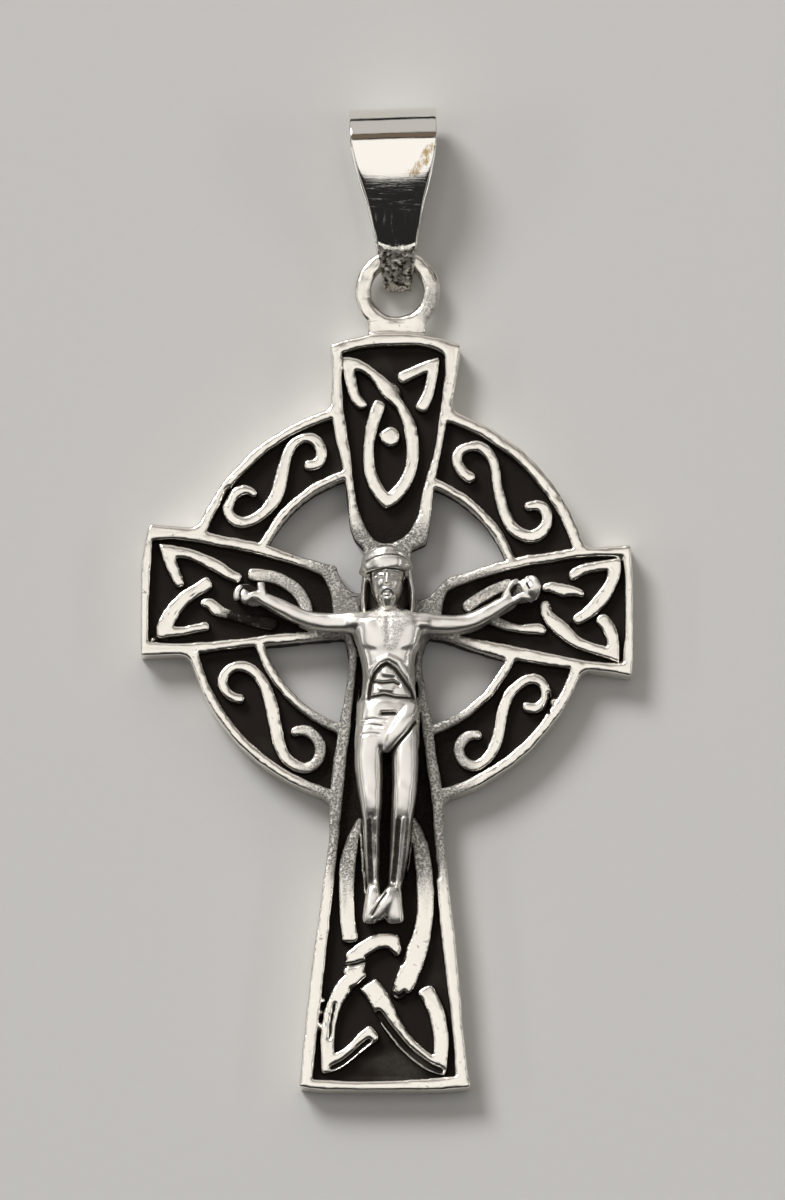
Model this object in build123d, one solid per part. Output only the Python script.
from build123d import *

import math
import os
from collections import namedtuple

# A cast silver cross with a ring, a figure on its front and a folded bail, lying on its back.
# Millimetres. +X is to the right, +Y towards the bail, +Z out of the front.
# The origin is the ring's centre on the flat back.

# Ring
ring_radius = 11.65
ring_hole_radius = 7.45
ring_outer_rim = 0.5
ring_inner_rim = 0.38
flare_radius = 0.75

# Limbs: reach from the ring's centre, and half the width at the end
top_reach = 15.15
top_half = 3.7
arm_reach = 14.0
arm_half = 3.75
shaft_reach = 27.95
shaft_half = 4.8

# Heights from the flat back
plate_thick = 1.2
rim_rise = 0.8
strand_rise = 0.7
strand_width = 0.52
scroll_width = 0.47
knot_dot_radius = 0.5
knot_dot_right = 0.04
knot_dot_up = 0.638
strand_sink = 0.1
strand_bulge = 0.3
scroll_bulge = 0.9

# Plate behind the figure's head and chest
heart_half = 1.3
heart_above = 3.5
heart_below = 3.2

# Eye on the upper end
eye_outer_radius = 2.4
eye_wire = 0.86
eye_rise = 0.15
eye_lean = 0.55
eye_base_half = 1.6
eye_base_flare = 0.22
eye_base_thick = 0.8

# Bail: a strip folded through the eye
bail_strip = 0.4
bail_top_radius = 2.2
bail_foot_radius = 1.0
bail_length = 10.4
bail_width = 5.0
bail_clearance = 0.16
bail_close = 0.85
bail_lift = 0.03
bail_turn = 1.8

# Figure: from its crown to its toes, half its shoulders, and its rise above the rims
figure_top = 3.3
figure_tall = 21.9
shoulder_half = 2.25
figure_rise = 2.4
figure_axis = 2.0
shoulder_y = -1.2
arm_start = 1.3
arm_long = 6.6

Spot = namedtuple("Spot", "right up kind")
Bend = namedtuple("Bend", "right up width kind")
CORNER = "corner"
CURVE = "curve"

rim_top = plate_thick + rim_rise
strand_top = plate_thick + strand_rise

# Outlines of the limbs and of their recesses, as shares of the limb's two named sizes.
# A side that crosses the ring's outer edge is straight there, between two corners.
TOP_EDGE = [
    Spot(-0.873, 0.985, CORNER),
    Spot(-0.579, 1.009, CURVE),
    Spot(0.131, 1.030, CURVE),
    Spot(0.811, 1.009, CURVE),
    Spot(1.112, 0.985, CORNER),
    Spot(1.058, 0.870, CURVE),
    Spot(0.975, 0.767, CORNER),
    Spot(0.903, 0.699, CORNER),
    Spot(0.826, 0.596, CURVE),
    Spot(0.718, 0.463, CURVE),
    Spot(0.656, 0.337, CURVE),
    Spot(0.579, 0.238, CORNER),
    Spot(0.317, 0.208, CORNER),
    Spot(-0.286, 0.208, CORNER),
    Spot(-0.486, 0.253, CURVE),
    Spot(-0.579, 0.337, CURVE),
    Spot(-0.641, 0.470, CURVE),
    Spot(-0.718, 0.560, CURVE),
    Spot(-0.840, 0.699, CORNER),
    Spot(-0.860, 0.783, CORNER),
    Spot(-0.835, 0.870, CURVE),
]
TOP_RECESS = [
    Spot(-0.718, 0.962, CORNER),
    Spot(-0.347, 0.982, CURVE),
    Spot(0.193, 0.990, CURVE),
    Spot(0.656, 0.982, CURVE),
    Spot(0.903, 0.954, CORNER),
    Spot(0.903, 0.870, CURVE),
    Spot(0.842, 0.756, CURVE),
    Spot(0.718, 0.566, CURVE),
    Spot(0.564, 0.432, CURVE),
    Spot(0.456, 0.318, CURVE),
    Spot(0.270, 0.253, CURVE),
    Spot(0.008, 0.225, CORNER),
    Spot(-0.255, 0.249, CURVE),
    Spot(-0.394, 0.310, CURVE),
    Spot(-0.502, 0.394, CURVE),
    Spot(-0.595, 0.585, CURVE),
    Spot(-0.700, 0.756, CURVE),
    Spot(-0.725, 0.851, CURVE),
]
LEFT_EDGE = [
    Spot(-0.969, 1.208, CORNER),
    Spot(-0.794, 1.150, CORNER),
    Spot(-0.663, 1.023, CORNER),
    Spot(-0.492, 0.885, CURVE),
    Spot(-0.357, 0.715, CURVE),
    Spot(-0.214, 0.562, CORNER),
    Spot(-0.192, 0.350, CURVE),
    Spot(-0.157, 0.190, CURVE),
    Spot(-0.104, 0.146, CORNER),
    Spot(-0.104, -0.500, CORNER),
    Spot(-0.214, -0.515, CORNER),
    Spot(-0.357, -0.562, CURVE),
    Spot(-0.520, -0.623, CURVE),
    Spot(-0.663, -0.685, CORNER),
    Spot(-0.798, -0.760, CORNER),
    Spot(-1.002, -0.777, CORNER),
    Spot(-1.006, -0.254, CURVE),
    Spot(-0.998, 0.669, CURVE),
]
LEFT_RECESS = [
    Spot(-0.965, 0.990, CORNER),
    Spot(-0.830, 1.000, CURVE),
    Spot(-0.643, 0.869, CURVE),
    Spot(-0.418, 0.669, CURVE),
    Spot(-0.267, 0.469, CORNER),
    Spot(-0.231, 0.208, CURVE),
    Spot(-0.218, -0.177, CURVE),
    Spot(-0.227, -0.469, CORNER),
    Spot(-0.357, -0.450, CURVE),
    Spot(-0.602, -0.546, CURVE),
    Spot(-0.780, -0.610, CURVE),
    Spot(-0.980, -0.600, CORNER),
    Spot(-0.978, 0.054, CURVE),
]
RIGHT_EDGE = [
    Spot(0.990, 0.892, CORNER),
    Spot(0.860, 0.850, CORNER),
    Spot(0.745, 0.835, CORNER),
    Spot(0.602, 0.746, CURVE),
    Spot(0.471, 0.650, CURVE),
    Spot(0.378, 0.531, CURVE),
    Spot(0.263, 0.408, CORNER),
    Spot(0.206, 0.223, CURVE),
    Spot(0.173, 0.100, CURVE),
    Spot(0.108, 0.054, CORNER),
    Spot(0.108, -0.469, CORNER),
    Spot(0.173, -0.500, CORNER),
    Spot(0.276, -0.590, CURVE),
    Spot(0.398, -0.746, CURVE),
    Spot(0.561, -0.880, CURVE),
    Spot(0.765, -0.985, CORNER),
    Spot(0.860, -1.020, CORNER),
    Spot(0.990, -1.095, CORNER),
    Spot(1.001, -0.562, CURVE),
    Spot(0.999, 0.208, CURVE),
]
RIGHT_RECESS = [
    Spot(0.239, 0.208, CORNER),
    Spot(0.378, 0.423, CURVE),
    Spot(0.541, 0.577, CURVE),
    Spot(0.786, 0.731, CURVE),
    Spot(0.968, 0.750, CORNER),
    Spot(0.974, 0.400, CURVE),
    Spot(0.974, -0.300, CURVE),
    Spot(0.965, -0.925, CORNER),
    Spot(0.840, -0.910, CURVE),
    Spot(0.663, -0.777, CURVE),
    Spot(0.459, -0.623, CURVE),
    Spot(0.231, -0.480, CORNER),
    Spot(0.214, -0.223, CURVE),
    Spot(0.222, 0.008, CURVE),
]
SHAFT_EDGE = [
    Spot(-0.500, -0.068, CORNER),
    Spot(-0.446, -0.125, CURVE),
    Spot(-0.506, -0.199, CURVE),
    Spot(-0.589, -0.281, CURVE),
    Spot(-0.660, -0.385, CORNER),
    Spot(-0.680, -0.480, CORNER),
    Spot(-0.780, -0.611, CURVE),
    Spot(-0.863, -0.714, CURVE),
    Spot(-0.930, -0.817, CURVE),
    Spot(-0.982, -0.900, CURVE),
    Spot(-1.030, -0.993, CORNER),
    Spot(-0.506, -1.000, CURVE),
    Spot(-0.030, -1.001, CURVE),
    Spot(0.506, -0.999, CURVE),
    Spot(0.970, -0.994, CORNER),
    Spot(0.899, -0.900, CURVE),
    Spot(0.841, -0.776, CURVE),
    Spot(0.740, -0.611, CURVE),
    Spot(0.655, -0.480, CORNER),
    Spot(0.640, -0.385, CORNER),
    Spot(0.542, -0.281, CURVE),
    Spot(0.470, -0.199, CURVE),
    Spot(0.395, -0.125, CURVE),
    Spot(0.480, -0.068, CORNER),
]
SHAFT_RECESS = [
    Spot(-0.375, -0.106, CORNER),
    Spot(-0.423, -0.199, CURVE),
    Spot(-0.506, -0.323, CURVE),
    Spot(-0.589, -0.467, CURVE),
    Spot(-0.708, -0.673, CURVE),
    Spot(-0.815, -0.838, CURVE),
    Spot(-0.880, -0.930, CURVE),
    Spot(-0.905, -0.980, CORNER),
    Spot(-0.327, -0.984, CURVE),
    Spot(0.149, -0.983, CURVE),
    Spot(0.815, -0.974, CORNER),
    Spot(0.790, -0.879, CURVE),
    Spot(0.685, -0.735, CURVE),
    Spot(0.600, -0.570, CURVE),
    Spot(0.560, -0.446, CURVE),
    Spot(0.446, -0.281, CURVE),
    Spot(0.387, -0.199, CURVE),
    Spot(0.351, -0.106, CORNER),
]

# Knot strands: centre points as shares of the limb's sizes, widths as shares of the strand's
TOP_STRANDS = [
    [
        Bend(-0.378, 0.756, 1.0, CURVE),
        Bend(-0.533, 0.813, 1.0, CURVE),
        Bend(-0.590, 0.882, 1.0, CURVE),
        Bend(-0.640, 0.918, 0.95, CORNER),
        Bend(-0.420, 0.908, 0.95, CURVE),
        Bend(-0.195, 0.872, 0.85, CURVE),
        Bend(-0.005, 0.817, 1.3, CURVE),
        Bend(0.180, 0.763, 0.95, CURVE),
        Bend(0.320, 0.699, 1.1, CURVE),
        Bend(0.394, 0.596, 1.2, CURVE),
        Bend(0.300, 0.478, 1.2, CURVE),
        Bend(-0.008, 0.394, 0.95, CORNER),
        Bend(-0.270, 0.508, 1.1, CURVE),
        Bend(-0.286, 0.615, 1.0, CURVE),
        Bend(-0.210, 0.707, 1.2, CURVE),
        Bend(-0.116, 0.768, 1.1, CURVE),
    ],
    [
        Bend(0.200, 0.860, 1.05, CURVE),
        Bend(0.475, 0.894, 1.0, CURVE),
        Bend(0.715, 0.914, 0.95, CORNER),
        Bend(0.665, 0.845, 1.0, CURVE),
        Bend(0.595, 0.783, 1.1, CURVE),
        Bend(0.510, 0.745, 1.2, CURVE),
    ],
]
LEFT_STRANDS = [
    [
        Bend(-0.846, 0.293, 0.8, CURVE),
        Bend(-0.866, 0.467, 1, CURVE),
        Bend(-0.886, 0.653, 1.15, CURVE),
        Bend(-0.900, 0.816, 1.15, CORNER),
        Bend(-0.814, 0.781, 0.9, CURVE),
        Bend(-0.743, 0.680, 1.1, CURVE),
        Bend(-0.686, 0.568, 1.15, CURVE),
        Bend(-0.643, 0.459, 0.95, CURVE),
        Bend(-0.607, 0.387, 0.85, CURVE),
    ],
    [
        Bend(-0.729, 0.333, 1.2, CURVE),
        Bend(-0.779, 0.219, 1.2, CURVE),
        Bend(-0.825, 0.107, 1.25, CURVE),
        Bend(-0.864, -0.040, 1.35, CURVE),
        Bend(-0.893, -0.200, 1.5, CURVE),
        Bend(-0.907, -0.427, 1.15, CORNER),
        Bend(-0.829, -0.400, 0.75, CURVE),
        Bend(-0.779, -0.365, 0.8, CURVE),
        Bend(-0.736, -0.335, 0.85, CURVE),
    ],
    [
        Bend(-0.757, 0.008, 0.5, CURVE),
        Bend(-0.725, 0.010, 1, CURVE),
        Bend(-0.699, -0.080, 1.15, CURVE),
        Bend(-0.668, -0.136, 0.8, CURVE),
        Bend(-0.625, -0.185, 0.7, CURVE),
        Bend(-0.545, -0.255, 0.9, CURVE),
        Bend(-0.459, -0.315, 1, CURVE),
    ],
    [
        Bend(-0.561, 0.469, 1.1, CURVE),
        Bend(-0.480, 0.423, 1.15, CURVE),
        Bend(-0.398, 0.300, 1.15, CURVE),
        Bend(-0.345, 0.069, 1.05, CURVE),
        Bend(-0.330, -0.223, 1, CURVE),
    ],
]
RIGHT_STRANDS = [
    [
        Bend(0.750, 0.421, 0.9, CURVE),
        Bend(0.789, 0.523, 0.9, CURVE),
        Bend(0.857, 0.584, 0.85, CURVE),
        Bend(0.925, 0.627, 1, CORNER),
        Bend(0.921, 0.400, 1.15, CURVE),
        Bend(0.901, 0.240, 1.2, CURVE),
        Bend(0.854, 0.000, 1.3, CURVE),
        Bend(0.818, -0.128, 1.2, CURVE),
        Bend(0.771, -0.248, 0.85, CURVE),
    ],
    [
        Bend(0.641, 0.245, 0.75, CURVE),
        Bend(0.682, 0.253, 0.95, CURVE),
        Bend(0.718, 0.213, 1.15, CURVE),
        Bend(0.752, 0.203, 0.85, CURVE),
        Bend(0.797, 0.152, 0.65, CURVE),
    ],
    [
        Bend(0.643, 0.013, 0.9, CURVE),
        Bend(0.657, -0.187, 1.15, CURVE),
        Bend(0.700, -0.347, 1.5, CURVE),
        Bend(0.763, -0.552, 1.15, CURVE),
        Bend(0.821, -0.659, 0.95, CURVE),
        Bend(0.919, -0.768, 1.15, CORNER),
        Bend(0.919, -0.533, 1.05, CURVE),
        Bend(0.906, -0.387, 1.1, CURVE),
        Bend(0.868, -0.208, 1.15, CURVE),
    ],
    [
        Bend(0.378, -0.131, 0.8, CURVE),
        Bend(0.484, -0.335, 0.75, CURVE),
        Bend(0.536, -0.376, 0.8, CURVE),
        Bend(0.579, -0.379, 1.05, CURVE),
        Bend(0.611, -0.381, 1.05, CURVE),
        Bend(0.640, -0.427, 0.55, CURVE),
    ],
    [
        Bend(0.320, -0.054, 0.9, CURVE),
        Bend(0.378, 0.100, 0.95, CURVE),
        Bend(0.443, 0.239, 0.95, CURVE),
        Bend(0.504, 0.315, 0.9, CURVE),
    ],
]
SHAFT_STRANDS = [
    [
        Bend(-0.330, -0.400, 1.3, CURVE),
        Bend(-0.446, -0.498, 1.45, CURVE),
        Bend(-0.482, -0.570, 1.45, CURVE),
        Bend(-0.482, -0.632, 1.45, CURVE),
        Bend(-0.440, -0.692, 1.5, CURVE),
    ],
    [
        Bend(0.310, -0.400, 1.4, CURVE),
        Bend(0.410, -0.518, 1.45, CURVE),
        Bend(0.452, -0.590, 1.55, CURVE),
        Bend(0.418, -0.673, 1.75, CURVE),
        Bend(0.315, -0.733, 2.1, CURVE),
        Bend(0.173, -0.790, 1.9, CURVE),
    ],
    [
        Bend(-0.446, -0.731, 1.3, CURVE),
        Bend(-0.304, -0.712, 1.4, CURVE),
        Bend(-0.137, -0.696, 1.4, CURVE),
        Bend(0.072, -0.695, 1.2, CORNER),
        Bend(0.120, -0.720, 0.9, CURVE),
    ],
    [
        Bend(-0.315, -0.757, 1.45, CURVE),
        Bend(-0.500, -0.785, 1.5, CURVE),
        Bend(-0.640, -0.828, 1.35, CURVE),
        Bend(-0.708, -0.889, 1.3, CURVE),
        Bend(-0.700, -0.946, 1.25, CORNER),
        Bend(-0.510, -0.932, 1.4, CURVE),
        Bend(-0.344, -0.908, 1.45, CURVE),
        Bend(-0.167, -0.882, 1.65, CURVE),
    ],
    [
        Bend(-0.233, -0.783, 1.9, CURVE),
        Bend(-0.069, -0.823, 1.9, CURVE),
        Bend(0.045, -0.861, 1.75, CURVE),
        Bend(0.225, -0.904, 1.55, CURVE),
        Bend(0.392, -0.931, 1.45, CURVE),
        Bend(0.617, -0.950, 1.25, CORNER),
        Bend(0.635, -0.900, 1.5, CURVE),
        Bend(0.578, -0.840, 1.55, CURVE),
        Bend(0.446, -0.794, 1.6, CURVE),
    ],
]

# Scrolls on the ring: centre points as shares of the ring's radius, widths as shares of the scroll's
SCROLLS = [
    [
        Bend(-0.385, 0.689, 1.15, CURVE),
        Bend(-0.339, 0.706, 1.1, CURVE),
        Bend(-0.326, 0.764, 1.1, CURVE),
        Bend(-0.352, 0.811, 1.1, CURVE),
        Bend(-0.395, 0.826, 0.95, CURVE),
        Bend(-0.440, 0.810, 0.85, CURVE),
        Bend(-0.481, 0.770, 1.0, CURVE),
        Bend(-0.502, 0.715, 1.15, CURVE),
        Bend(-0.517, 0.644, 1.35, CURVE),
        Bend(-0.537, 0.565, 1.4, CURVE),
        Bend(-0.572, 0.497, 1.3, CURVE),
        Bend(-0.625, 0.441, 1.15, CURVE),
        Bend(-0.685, 0.410, 1.1, CURVE),
        Bend(-0.740, 0.413, 1.1, CURVE),
        Bend(-0.778, 0.450, 1.15, CURVE),
        Bend(-0.776, 0.505, 1.0, CURVE),
        Bend(-0.747, 0.549, 0.95, CURVE),
        Bend(-0.700, 0.567, 0.9, CURVE),
        Bend(-0.655, 0.549, 0.7, CURVE),
    ],
    [
        Bend(0.405, 0.627, 1.15, CURVE),
        Bend(0.361, 0.666, 1.1, CURVE),
        Bend(0.341, 0.736, 1.0, CURVE),
        Bend(0.395, 0.780, 1.0, CURVE),
        Bend(0.473, 0.770, 1.0, CURVE),
        Bend(0.517, 0.711, 0.95, CURVE),
        Bend(0.537, 0.597, 0.9, CURVE),
        Bend(0.571, 0.463, 1.1, CURVE),
        Bend(0.630, 0.364, 1.25, CURVE),
        Bend(0.719, 0.339, 1.3, CURVE),
        Bend(0.782, 0.404, 1.2, CURVE),
        Bend(0.763, 0.478, 1.1, CURVE),
        Bend(0.694, 0.483, 0.9, CURVE),
    ],
    [
        Bend(-0.723, -0.468, 0.9, CURVE),
        Bend(-0.787, -0.438, 0.95, CURVE),
        Bend(-0.807, -0.369, 0.95, CURVE),
        Bend(-0.763, -0.315, 0.95, CURVE),
        Bend(-0.684, -0.315, 1.0, CURVE),
        Bend(-0.611, -0.389, 1.1, CURVE),
        Bend(-0.567, -0.508, 1.3, CURVE),
        Bend(-0.542, -0.651, 1.3, CURVE),
        Bend(-0.488, -0.770, 1.1, CURVE),
        Bend(-0.405, -0.810, 1.05, CURVE),
        Bend(-0.336, -0.760, 1.0, CURVE),
        Bend(-0.341, -0.671, 1.0, CURVE),
        Bend(-0.400, -0.627, 1.0, CURVE),
        Bend(-0.454, -0.632, 0.95, CURVE),
    ],
    [
        Bend(0.684, -0.508, 1.0, CURVE),
        Bend(0.748, -0.503, 1.0, CURVE),
        Bend(0.777, -0.438, 1.0, CURVE),
        Bend(0.738, -0.374, 1.0, CURVE),
        Bend(0.650, -0.394, 1.0, CURVE),
        Bend(0.576, -0.493, 1.1, CURVE),
        Bend(0.547, -0.627, 1.15, CURVE),
        Bend(0.503, -0.745, 1.1, CURVE),
        Bend(0.414, -0.800, 1.05, CURVE),
        Bend(0.351, -0.736, 1.0, CURVE),
        Bend(0.375, -0.666, 1.0, CURVE),
        Bend(0.444, -0.651, 0.9, CURVE),
    ],
]

# Quarters of the ring: which way each lies, the radius of its opening as a share of the hole's,
# and the width of its outer rim as a share of the rim's
Quarter = namedtuple("Quarter", "side end hole rim")
QUARTERS = [
    Quarter(-1, 1, 1.034, 0.85),
    Quarter(1, 1, 0.980, 1.05),
    Quarter(-1, -1, 1.008, 0.80),
    Quarter(1, -1, 1.010, 0.95),
]

# Bail seen from the front: distance from its top and width, as shares of its length and width
Station = namedtuple("Station", "down width")
BAIL_STATIONS = [
    Station(0.0, 1.0),
    Station(0.16, 1.0),
    Station(0.24, 0.965),
    Station(0.38, 0.83),
    Station(0.50, 0.67),
    Station(0.61, 0.565),
    Station(0.72, 0.495),
    Station(0.80, 0.44),
    Station(0.90, 0.355),
    Station(1.0, 0.28),
]

# Sections of the figure, from its crown: distance down as a share of its height, middle and half
# width as shares of the shoulder's half width, front as a share of its rise above the rims
Slice = namedtuple("Slice", "down middle half front")
TORSO = [
    Slice(0.165, 0.08, 0.62, 0.42),
    Slice(0.185, 0.08, 0.98, 0.58),
    Slice(0.228, 0.05, 0.95, 0.74),
    Slice(0.267, -0.01, 0.78, 0.70),
    Slice(0.306, 0.02, 0.69, 0.58),
    Slice(0.359, 0.02, 0.67, 0.58),
    Slice(0.411, 0.02, 0.72, 0.62),
]
LOINCLOTH = [
    Slice(0.400, 0.02, 0.74, 0.62),
    Slice(0.430, 0.02, 0.78, 0.72),
    Slice(0.480, 0.0, 0.78, 0.74),
    Slice(0.530, -0.03, 0.79, 0.66),
    Slice(0.565, -0.05, 0.80, 0.56),
]
LEFT_LEG = [
    Slice(0.520, -0.44, 0.36, 0.55),
    Slice(0.590, -0.49, 0.36, 0.58),
    Slice(0.690, -0.41, 0.31, 0.76),
    Slice(0.750, -0.45, 0.22, 0.62),
    Slice(0.820, -0.44, 0.19, 0.52),
    Slice(0.890, -0.40, 0.16, 0.42),
    Slice(0.960, -0.33, 0.16, 0.38),
]
RIGHT_LEG = [
    Slice(0.520, 0.42, 0.35, 0.55),
    Slice(0.590, 0.45, 0.34, 0.58),
    Slice(0.690, 0.40, 0.30, 0.80),
    Slice(0.750, 0.34, 0.26, 0.66),
    Slice(0.820, 0.31, 0.24, 0.55),
    Slice(0.890, 0.20, 0.19, 0.45),
    Slice(0.960, 0.12, 0.18, 0.42),
]
HAIR = [
    Slice(0.020, -0.01, 0.30, 0.34),
    Slice(0.045, -0.01, 0.55, 0.50),
    Slice(0.080, 0.0, 0.60, 0.50),
    Slice(0.130, 0.02, 0.64, 0.44),
    Slice(0.180, 0.03, 0.69, 0.38),
]

# Sections of an arm, from the shoulder: reach outwards and height as shares of the arm's length,
# half width and front as above
Cut = namedtuple("Cut", "out up half front")
LEFT_ARM = [
    Cut(0.0, 0.0, 0.25, 0.50),
    Cut(0.21, 0.0, 0.20, 0.48),
    Cut(0.39, 0.0, 0.195, 0.46),
    Cut(0.56, 0.05, 0.185, 0.44),
    Cut(0.73, 0.14, 0.17, 0.42),
    Cut(0.90, 0.22, 0.14, 0.38),
]
RIGHT_ARM = [
    Cut(0.0, -0.01, 0.25, 0.50),
    Cut(0.17, -0.02, 0.20, 0.48),
    Cut(0.34, -0.02, 0.195, 0.47),
    Cut(0.51, 0.0, 0.195, 0.46),
    Cut(0.65, 0.065, 0.185, 0.44),
    Cut(0.78, 0.14, 0.17, 0.42),
    Cut(0.91, 0.215, 0.14, 0.38),
]

# Rounded parts of the figure: middle, halves and turn, as shares of its height, shoulder and rise
Lump = namedtuple("Lump", "down middle half_wide half_tall front turn")
LEFT_HAND = Lump(0.128, -3.49, 0.36, 0.024, 0.52, -28)
RIGHT_HAND = Lump(0.120, 3.52, 0.36, 0.024, 0.52, 28)
LUMPS = [
    Lump(0.078, 0.0, 0.44, 0.070, 1.0, 0),
    Lump(0.148, -0.02, 0.20, 0.032, 0.72, 0),
    Lump(0.190, 0.05, 0.42, 0.030, 0.56, 0),
    Lump(0.495, 0.28, 0.18, 0.060, 0.84, -42),
    Lump(0.972, -0.28, 0.20, 0.034, 0.50, -12),
    Lump(0.965, 0.10, 0.20, 0.036, 0.56, 10),
]


def chain(spots):
    """Closed face through the spots, a curve between each two corners."""
    corners = [i for i, spot in enumerate(spots) if spot[1] == CORNER]
    count = len(spots)
    edges = []
    for start, stop in zip(corners, corners[1:] + [corners[0] + count]):
        points = [spots[i % count][0] for i in range(start, stop + 1)]
        edges.append(Line(*points) if len(points) == 2 else Spline(*points))
    return make_face(edges)


def outline_spots(rows, wide, tall):
    """Points of an outline whose rows are shares of two sizes, each with its kind."""
    return [((row.right * wide, row.up * tall), row.kind) for row in rows]


def unit(start, stop):
    """Direction from one point to another."""
    length = math.dist(start, stop)
    return ((stop[0] - start[0]) / length, (stop[1] - start[1]) / length)


def side_edges(spots):
    """Edges along one side of a strand, broken at its corners."""
    last = len(spots) - 1
    breaks = [0] + [i for i in range(1, last) if spots[i][1] == CORNER] + [last]
    edges = []
    for start, stop in zip(breaks, breaks[1:]):
        points = [spot[0] for spot in spots[start : stop + 1]]
        edges.append(Line(*points) if len(points) == 2 else Spline(*points))
    return edges


def end_edge(left, right, middle, way, bulge):
    """Arc that closes a strand's end, standing out by a share of its half width."""
    reach = bulge * math.dist(left, right) / 2
    tip = (middle[0] + way[0] * reach, middle[1] + way[1] * reach)
    return ThreePointArc(left, tip, right)


def ribbon(rows, wide, tall, width, bulge):
    """Face of one strand, of changing width, with mitred corners and rounded ends."""
    points = [(row.right * wide, row.up * tall) for row in rows]
    last = len(points) - 1
    left = []
    right = []
    for i, (point, row) in enumerate(zip(points, rows)):
        into = unit(points[max(i - 1, 0)], points[max(i, 1)])
        out = unit(points[min(i, last - 1)], points[min(i + 1, last)])
        along = unit((0, 0), (into[0] + out[0], into[1] + out[1]))
        shrink = into[0] * along[0] + into[1] * along[1] if row.kind == CORNER else 1.0
        side = row.width * width / 2 / shrink
        left.append(((point[0] - along[1] * side, point[1] + along[0] * side), row.kind))
        right.append(((point[0] + along[1] * side, point[1] - along[0] * side), row.kind))
    edges = side_edges(left) + side_edges(right)
    edges.append(end_edge(left[0][0], right[0][0], points[0], unit(points[1], points[0]), bulge))
    edges.append(end_edge(left[-1][0], right[-1][0], points[-1], unit(points[-2], points[-1]), bulge))
    return make_face(edges)


def quarter_disc(quarter, radius):
    """Quarter of a disc, on the side and end that the quarter names."""
    half = Pos(quarter.side * radius / 2, quarter.end * radius / 2) * Rectangle(radius, radius)
    return Circle(radius) & half


def flare(outer, inner, middle):
    """Face that rounds the corner between a limb's straight side and the ring's outer edge."""
    way = unit(outer, inner)
    normal = (-way[1], way[0])
    if (outer[0] - middle[0]) * normal[0] + (outer[1] - middle[1]) * normal[1] < 0:
        normal = (-normal[0], -normal[1])
    start = (outer[0] + normal[0] * flare_radius, outer[1] + normal[1] * flare_radius)
    dot = start[0] * way[0] + start[1] * way[1]
    room = start[0] ** 2 + start[1] ** 2 - (ring_radius + flare_radius) ** 2
    step = -dot - math.sqrt(dot**2 - room)
    centre = (start[0] + way[0] * step, start[1] + way[1] * step)
    on_side = (centre[0] - normal[0] * flare_radius, centre[1] - normal[1] * flare_radius)
    share = ring_radius / (ring_radius + flare_radius)
    on_ring = (centre[0] * share, centre[1] * share)
    towards = unit(centre, ((on_side[0] + on_ring[0]) / 2, (on_side[1] + on_ring[1]) / 2))
    hollow = (centre[0] + towards[0] * flare_radius, centre[1] + towards[1] * flare_radius)
    reach = 2 * math.dist(centre, ((on_side[0] + on_ring[0]) / 2, (on_side[1] + on_ring[1]) / 2))
    core = (centre[0] + towards[0] * reach, centre[1] + towards[1] * reach)
    return make_face([ThreePointArc(on_side, hollow, on_ring), Line(on_ring, core), Line(core, on_side)])


def flares(spots):
    """Flares of one limb, where its straight sides cross the ring's outer edge."""
    points = [spot[0] for spot in spots]
    middle = (sum(p[0] for p in points) / len(points), sum(p[1] for p in points) / len(points))
    faces = []
    for i, spot in enumerate(spots):
        pair = sorted((spots[i - 1], spot), key=lambda end: -math.hypot(*end[0]))
        crosses = math.hypot(*pair[0][0]) > ring_radius > math.hypot(*pair[1][0])
        if crosses and spots[i - 1][1] == spot[1] == CORNER:
            faces.append(flare(pair[0][0], pair[1][0], middle))
    return faces


def raised(face, bottom, top):
    """Solid over a face, from one height to another."""
    return Pos(0, 0, bottom) * extrude(face, top - bottom)


def cross_body():
    """Plate, rims, strands and scrolls."""
    limbs = [
        outline_spots(TOP_EDGE, top_half, top_reach),
        outline_spots(LEFT_EDGE, arm_reach, arm_half),
        outline_spots(RIGHT_EDGE, arm_reach, arm_half),
        outline_spots(SHAFT_EDGE, shaft_half, shaft_reach),
    ]
    limb_faces = [chain(spots) for spots in limbs]
    heart = Rectangle(2 * heart_half, heart_above + heart_below, align=(Align.CENTER, Align.MIN))
    heart = Pos(0, -heart_below) * heart
    ring = Circle(ring_radius)
    for quarter in QUARTERS:
        ring -= quarter_disc(quarter, ring_hole_radius * quarter.hole)
    silhouette = Sketch() + ring + heart + limb_faces
    for spots in limbs:
        silhouette += flares(spots)
    body = extrude(silhouette, rim_top)
    recesses = [
        chain(outline_spots(TOP_RECESS, top_half, top_reach)),
        chain(outline_spots(LEFT_RECESS, arm_reach, arm_half)),
        chain(outline_spots(RIGHT_RECESS, arm_reach, arm_half)),
        chain(outline_spots(SHAFT_RECESS, shaft_half, shaft_reach)),
    ]
    for quarter in QUARTERS:
        panel = quarter_disc(quarter, ring_radius - ring_outer_rim * quarter.rim)
        panel -= quarter_disc(quarter, ring_hole_radius * quarter.hole + ring_inner_rim)
        recesses.append(panel - limb_faces)
    for recess in recesses:
        body -= raised(recess, plate_thick, rim_top + rim_rise)
    return body


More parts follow.
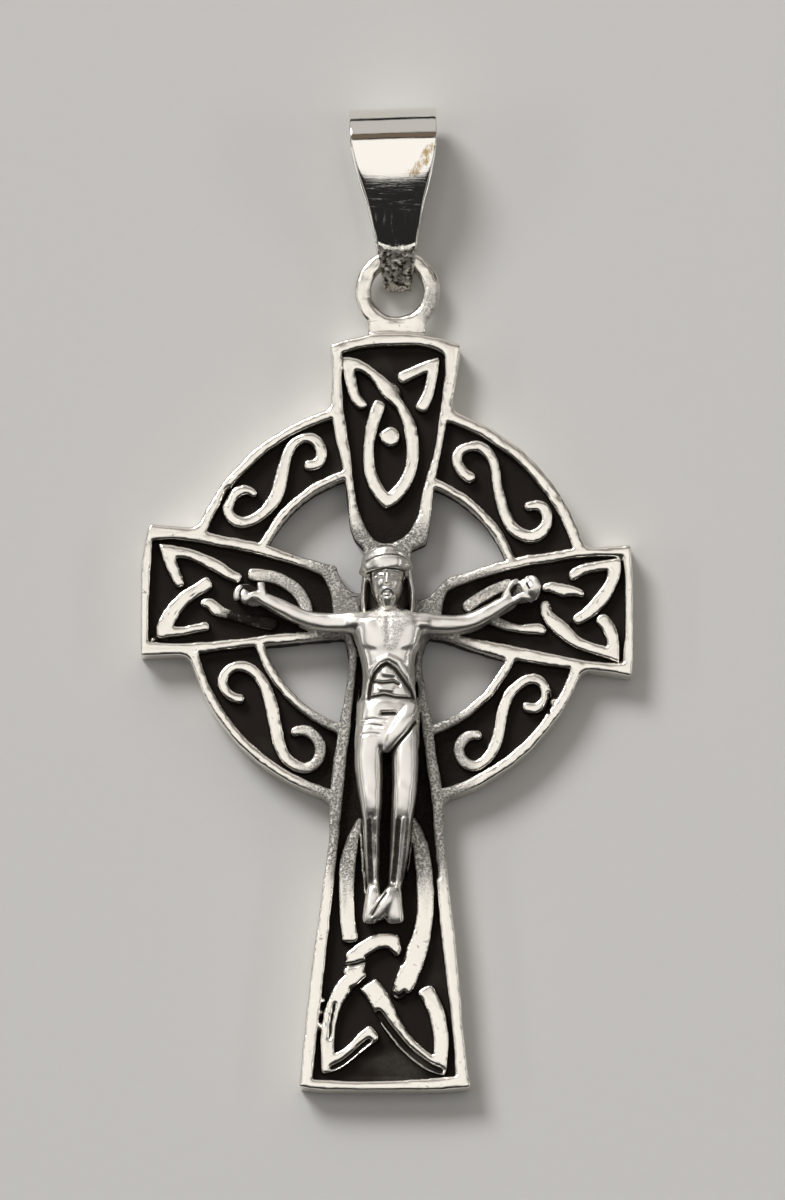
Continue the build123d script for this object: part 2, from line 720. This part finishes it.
def ornament():
    """Knot strands and scrolls, sunk a little into the floor."""
    tables = [
        (TOP_STRANDS, top_half, top_reach, strand_width, strand_bulge),
        (LEFT_STRANDS, arm_reach, arm_half, strand_width, strand_bulge),
        (RIGHT_STRANDS, arm_reach, arm_half, strand_width, strand_bulge),
        (SHAFT_STRANDS, shaft_half, shaft_reach, strand_width, strand_bulge),
        (SCROLLS, ring_radius, ring_radius, scroll_width, scroll_bulge),
    ]
    pieces = []
    for strands, wide, tall, width, bulge in tables:
        for rows in strands:
            face = ribbon(rows, wide, tall, width, bulge)
            pieces.append(raised(face, plate_thick - strand_sink, strand_top))
    dot = Pos(knot_dot_right * top_half, knot_dot_up * top_reach) * Circle(knot_dot_radius)
    pieces.append(raised(dot, plate_thick - strand_sink, strand_top))
    return pieces


top_edge_y = top_reach * max(spot.up for spot in TOP_EDGE)
eye_y = top_edge_y + eye_outer_radius + eye_rise
eye_z = plate_thick
eye_line_radius = eye_outer_radius - eye_wire / 2


def eye():
    """Round loop on the upper end, with its foot."""
    loop = Pos(eye_lean, eye_y, eye_z) * Torus(eye_line_radius, eye_wire / 2)
    low = top_edge_y - ring_inner_rim
    foot = Polygon(
        (eye_lean - eye_base_half - eye_base_flare, low),
        (eye_lean + eye_base_half + eye_base_flare, low),
        (eye_lean + eye_base_half, top_edge_y + eye_base_flare),
        (eye_lean + eye_base_half, eye_y - eye_line_radius + eye_base_flare),
        (eye_lean - eye_base_half, eye_y - eye_line_radius + eye_base_flare),
        (eye_lean - eye_base_half, top_edge_y + eye_base_flare),
        align=None,
    )
    return [loop, raised(foot, eye_z - eye_base_thick / 2, eye_z + eye_base_thick / 2)]


def bail():
    """Tapered strip folded round the eye's wire and closed below it."""
    wire_y = eye_y + eye_line_radius
    foot_half = bail_width * BAIL_STATIONS[-2].width / 2
    wire_drop = eye_line_radius - math.sqrt(eye_line_radius**2 - (foot_half + bail_strip) ** 2)
    hole_radius = eye_wire / 2 + bail_clearance
    hole_y = wire_y - wire_drop
    foot_y = hole_y - hole_radius - bail_close + bail_foot_radius
    top_y = foot_y - bail_foot_radius + bail_length - bail_top_radius
    foot_z = bail_foot_radius + bail_lift
    outside = [
        Pos(foot_y, foot_z) * Circle(bail_foot_radius),
        Pos(top_y, bail_top_radius) * Circle(bail_top_radius),
    ]
    inside = [
        Pos(hole_y, eye_z) * Circle(hole_radius),
        Pos(top_y, bail_top_radius) * Circle(bail_top_radius - bail_strip),
    ]
    profile = make_hull([circle.edge() for circle in outside])
    profile -= make_hull([circle.edge() for circle in inside])
    strip = extrude(Plane.YZ * profile, bail_width, both=True)
    top_end = top_y + bail_top_radius
    left = [(-row.width * bail_width / 2, top_end - row.down * bail_length) for row in BAIL_STATIONS]
    right = [(-x, y) for x, y in left]
    front = make_face([Spline(*left), Spline(*right), Line(left[0], right[0]), Line(left[-1], right[-1])])
    strip &= extrude(front, 2 * bail_top_radius)
    turned = Pos(eye_lean, wire_y) * Rot(0, 0, bail_turn) * Pos(0, -wire_y) * strip
    return turned


def upright_section(row):
    """Elliptic section across a standing part of the figure, its back in the plate."""
    y = figure_top - row.down * figure_tall
    deep = rim_top + row.front * figure_rise - figure_axis
    plane = Plane(origin=(row.middle * shoulder_half, y, figure_axis), x_dir=(1, 0, 0), z_dir=(0, -1, 0))
    return plane * Ellipse(row.half * shoulder_half, deep)


def figure():
    """The figure's main forms."""
    pieces = []
    for rows in (TORSO, LOINCLOTH, LEFT_LEG, RIGHT_LEG, HAIR):
        pieces.append(loft([upright_section(row) for row in rows]))
    for rows, side in ((LEFT_ARM, -1), (RIGHT_ARM, 1)):
        sections = []
        for row in rows:
            x = side * (arm_start + row.out * arm_long)
            y = shoulder_y + row.up * arm_long
            plane = Plane(origin=(x, y, figure_axis), x_dir=(0, 1, 0), z_dir=(1, 0, 0))
            deep = rim_top + row.front * figure_rise - figure_axis
            sections.append(plane * Ellipse(row.half * shoulder_half, deep))
        pieces.append(loft(sections))
        hand = LEFT_HAND if side < 0 else RIGHT_HAND
        pieces.append(lump(hand))
    pieces += [lump(row) for row in LUMPS]
    return pieces


def lump(row):
    """Rounded part of the figure, its back in the plate."""
    deep = rim_top + row.front * figure_rise - figure_axis
    ball = scale(Sphere(1), by=(row.half_wide * shoulder_half, row.half_tall * figure_tall, deep))
    y = figure_top - row.down * figure_tall
    return Pos(row.middle * shoulder_half, y, figure_axis) * Rot(0, 0, row.turn) * ball


def cross():
    """The cross with its ornament, eye and figure, one cast and soldered solid."""
    body = cross_body()
    for piece in ornament() + eye():
        body += piece
    statue = figure()
    whole = statue[0]
    for piece in statue[1:]:
        whole += piece
    whole = split(whole, Plane.XY.offset(plate_thick / 2), keep=Keep.TOP)
    return body + whole


def keep(shape, name):
    """Write one node's solid."""
    solids = shape.solids()
    assert len(solids) == 1, (name, len(solids))
    export_step(solids[0], f"parts/{name}.step")


os.makedirs("parts", exist_ok=True)
keep(cross(), "cross")
keep(bail(), "bail")
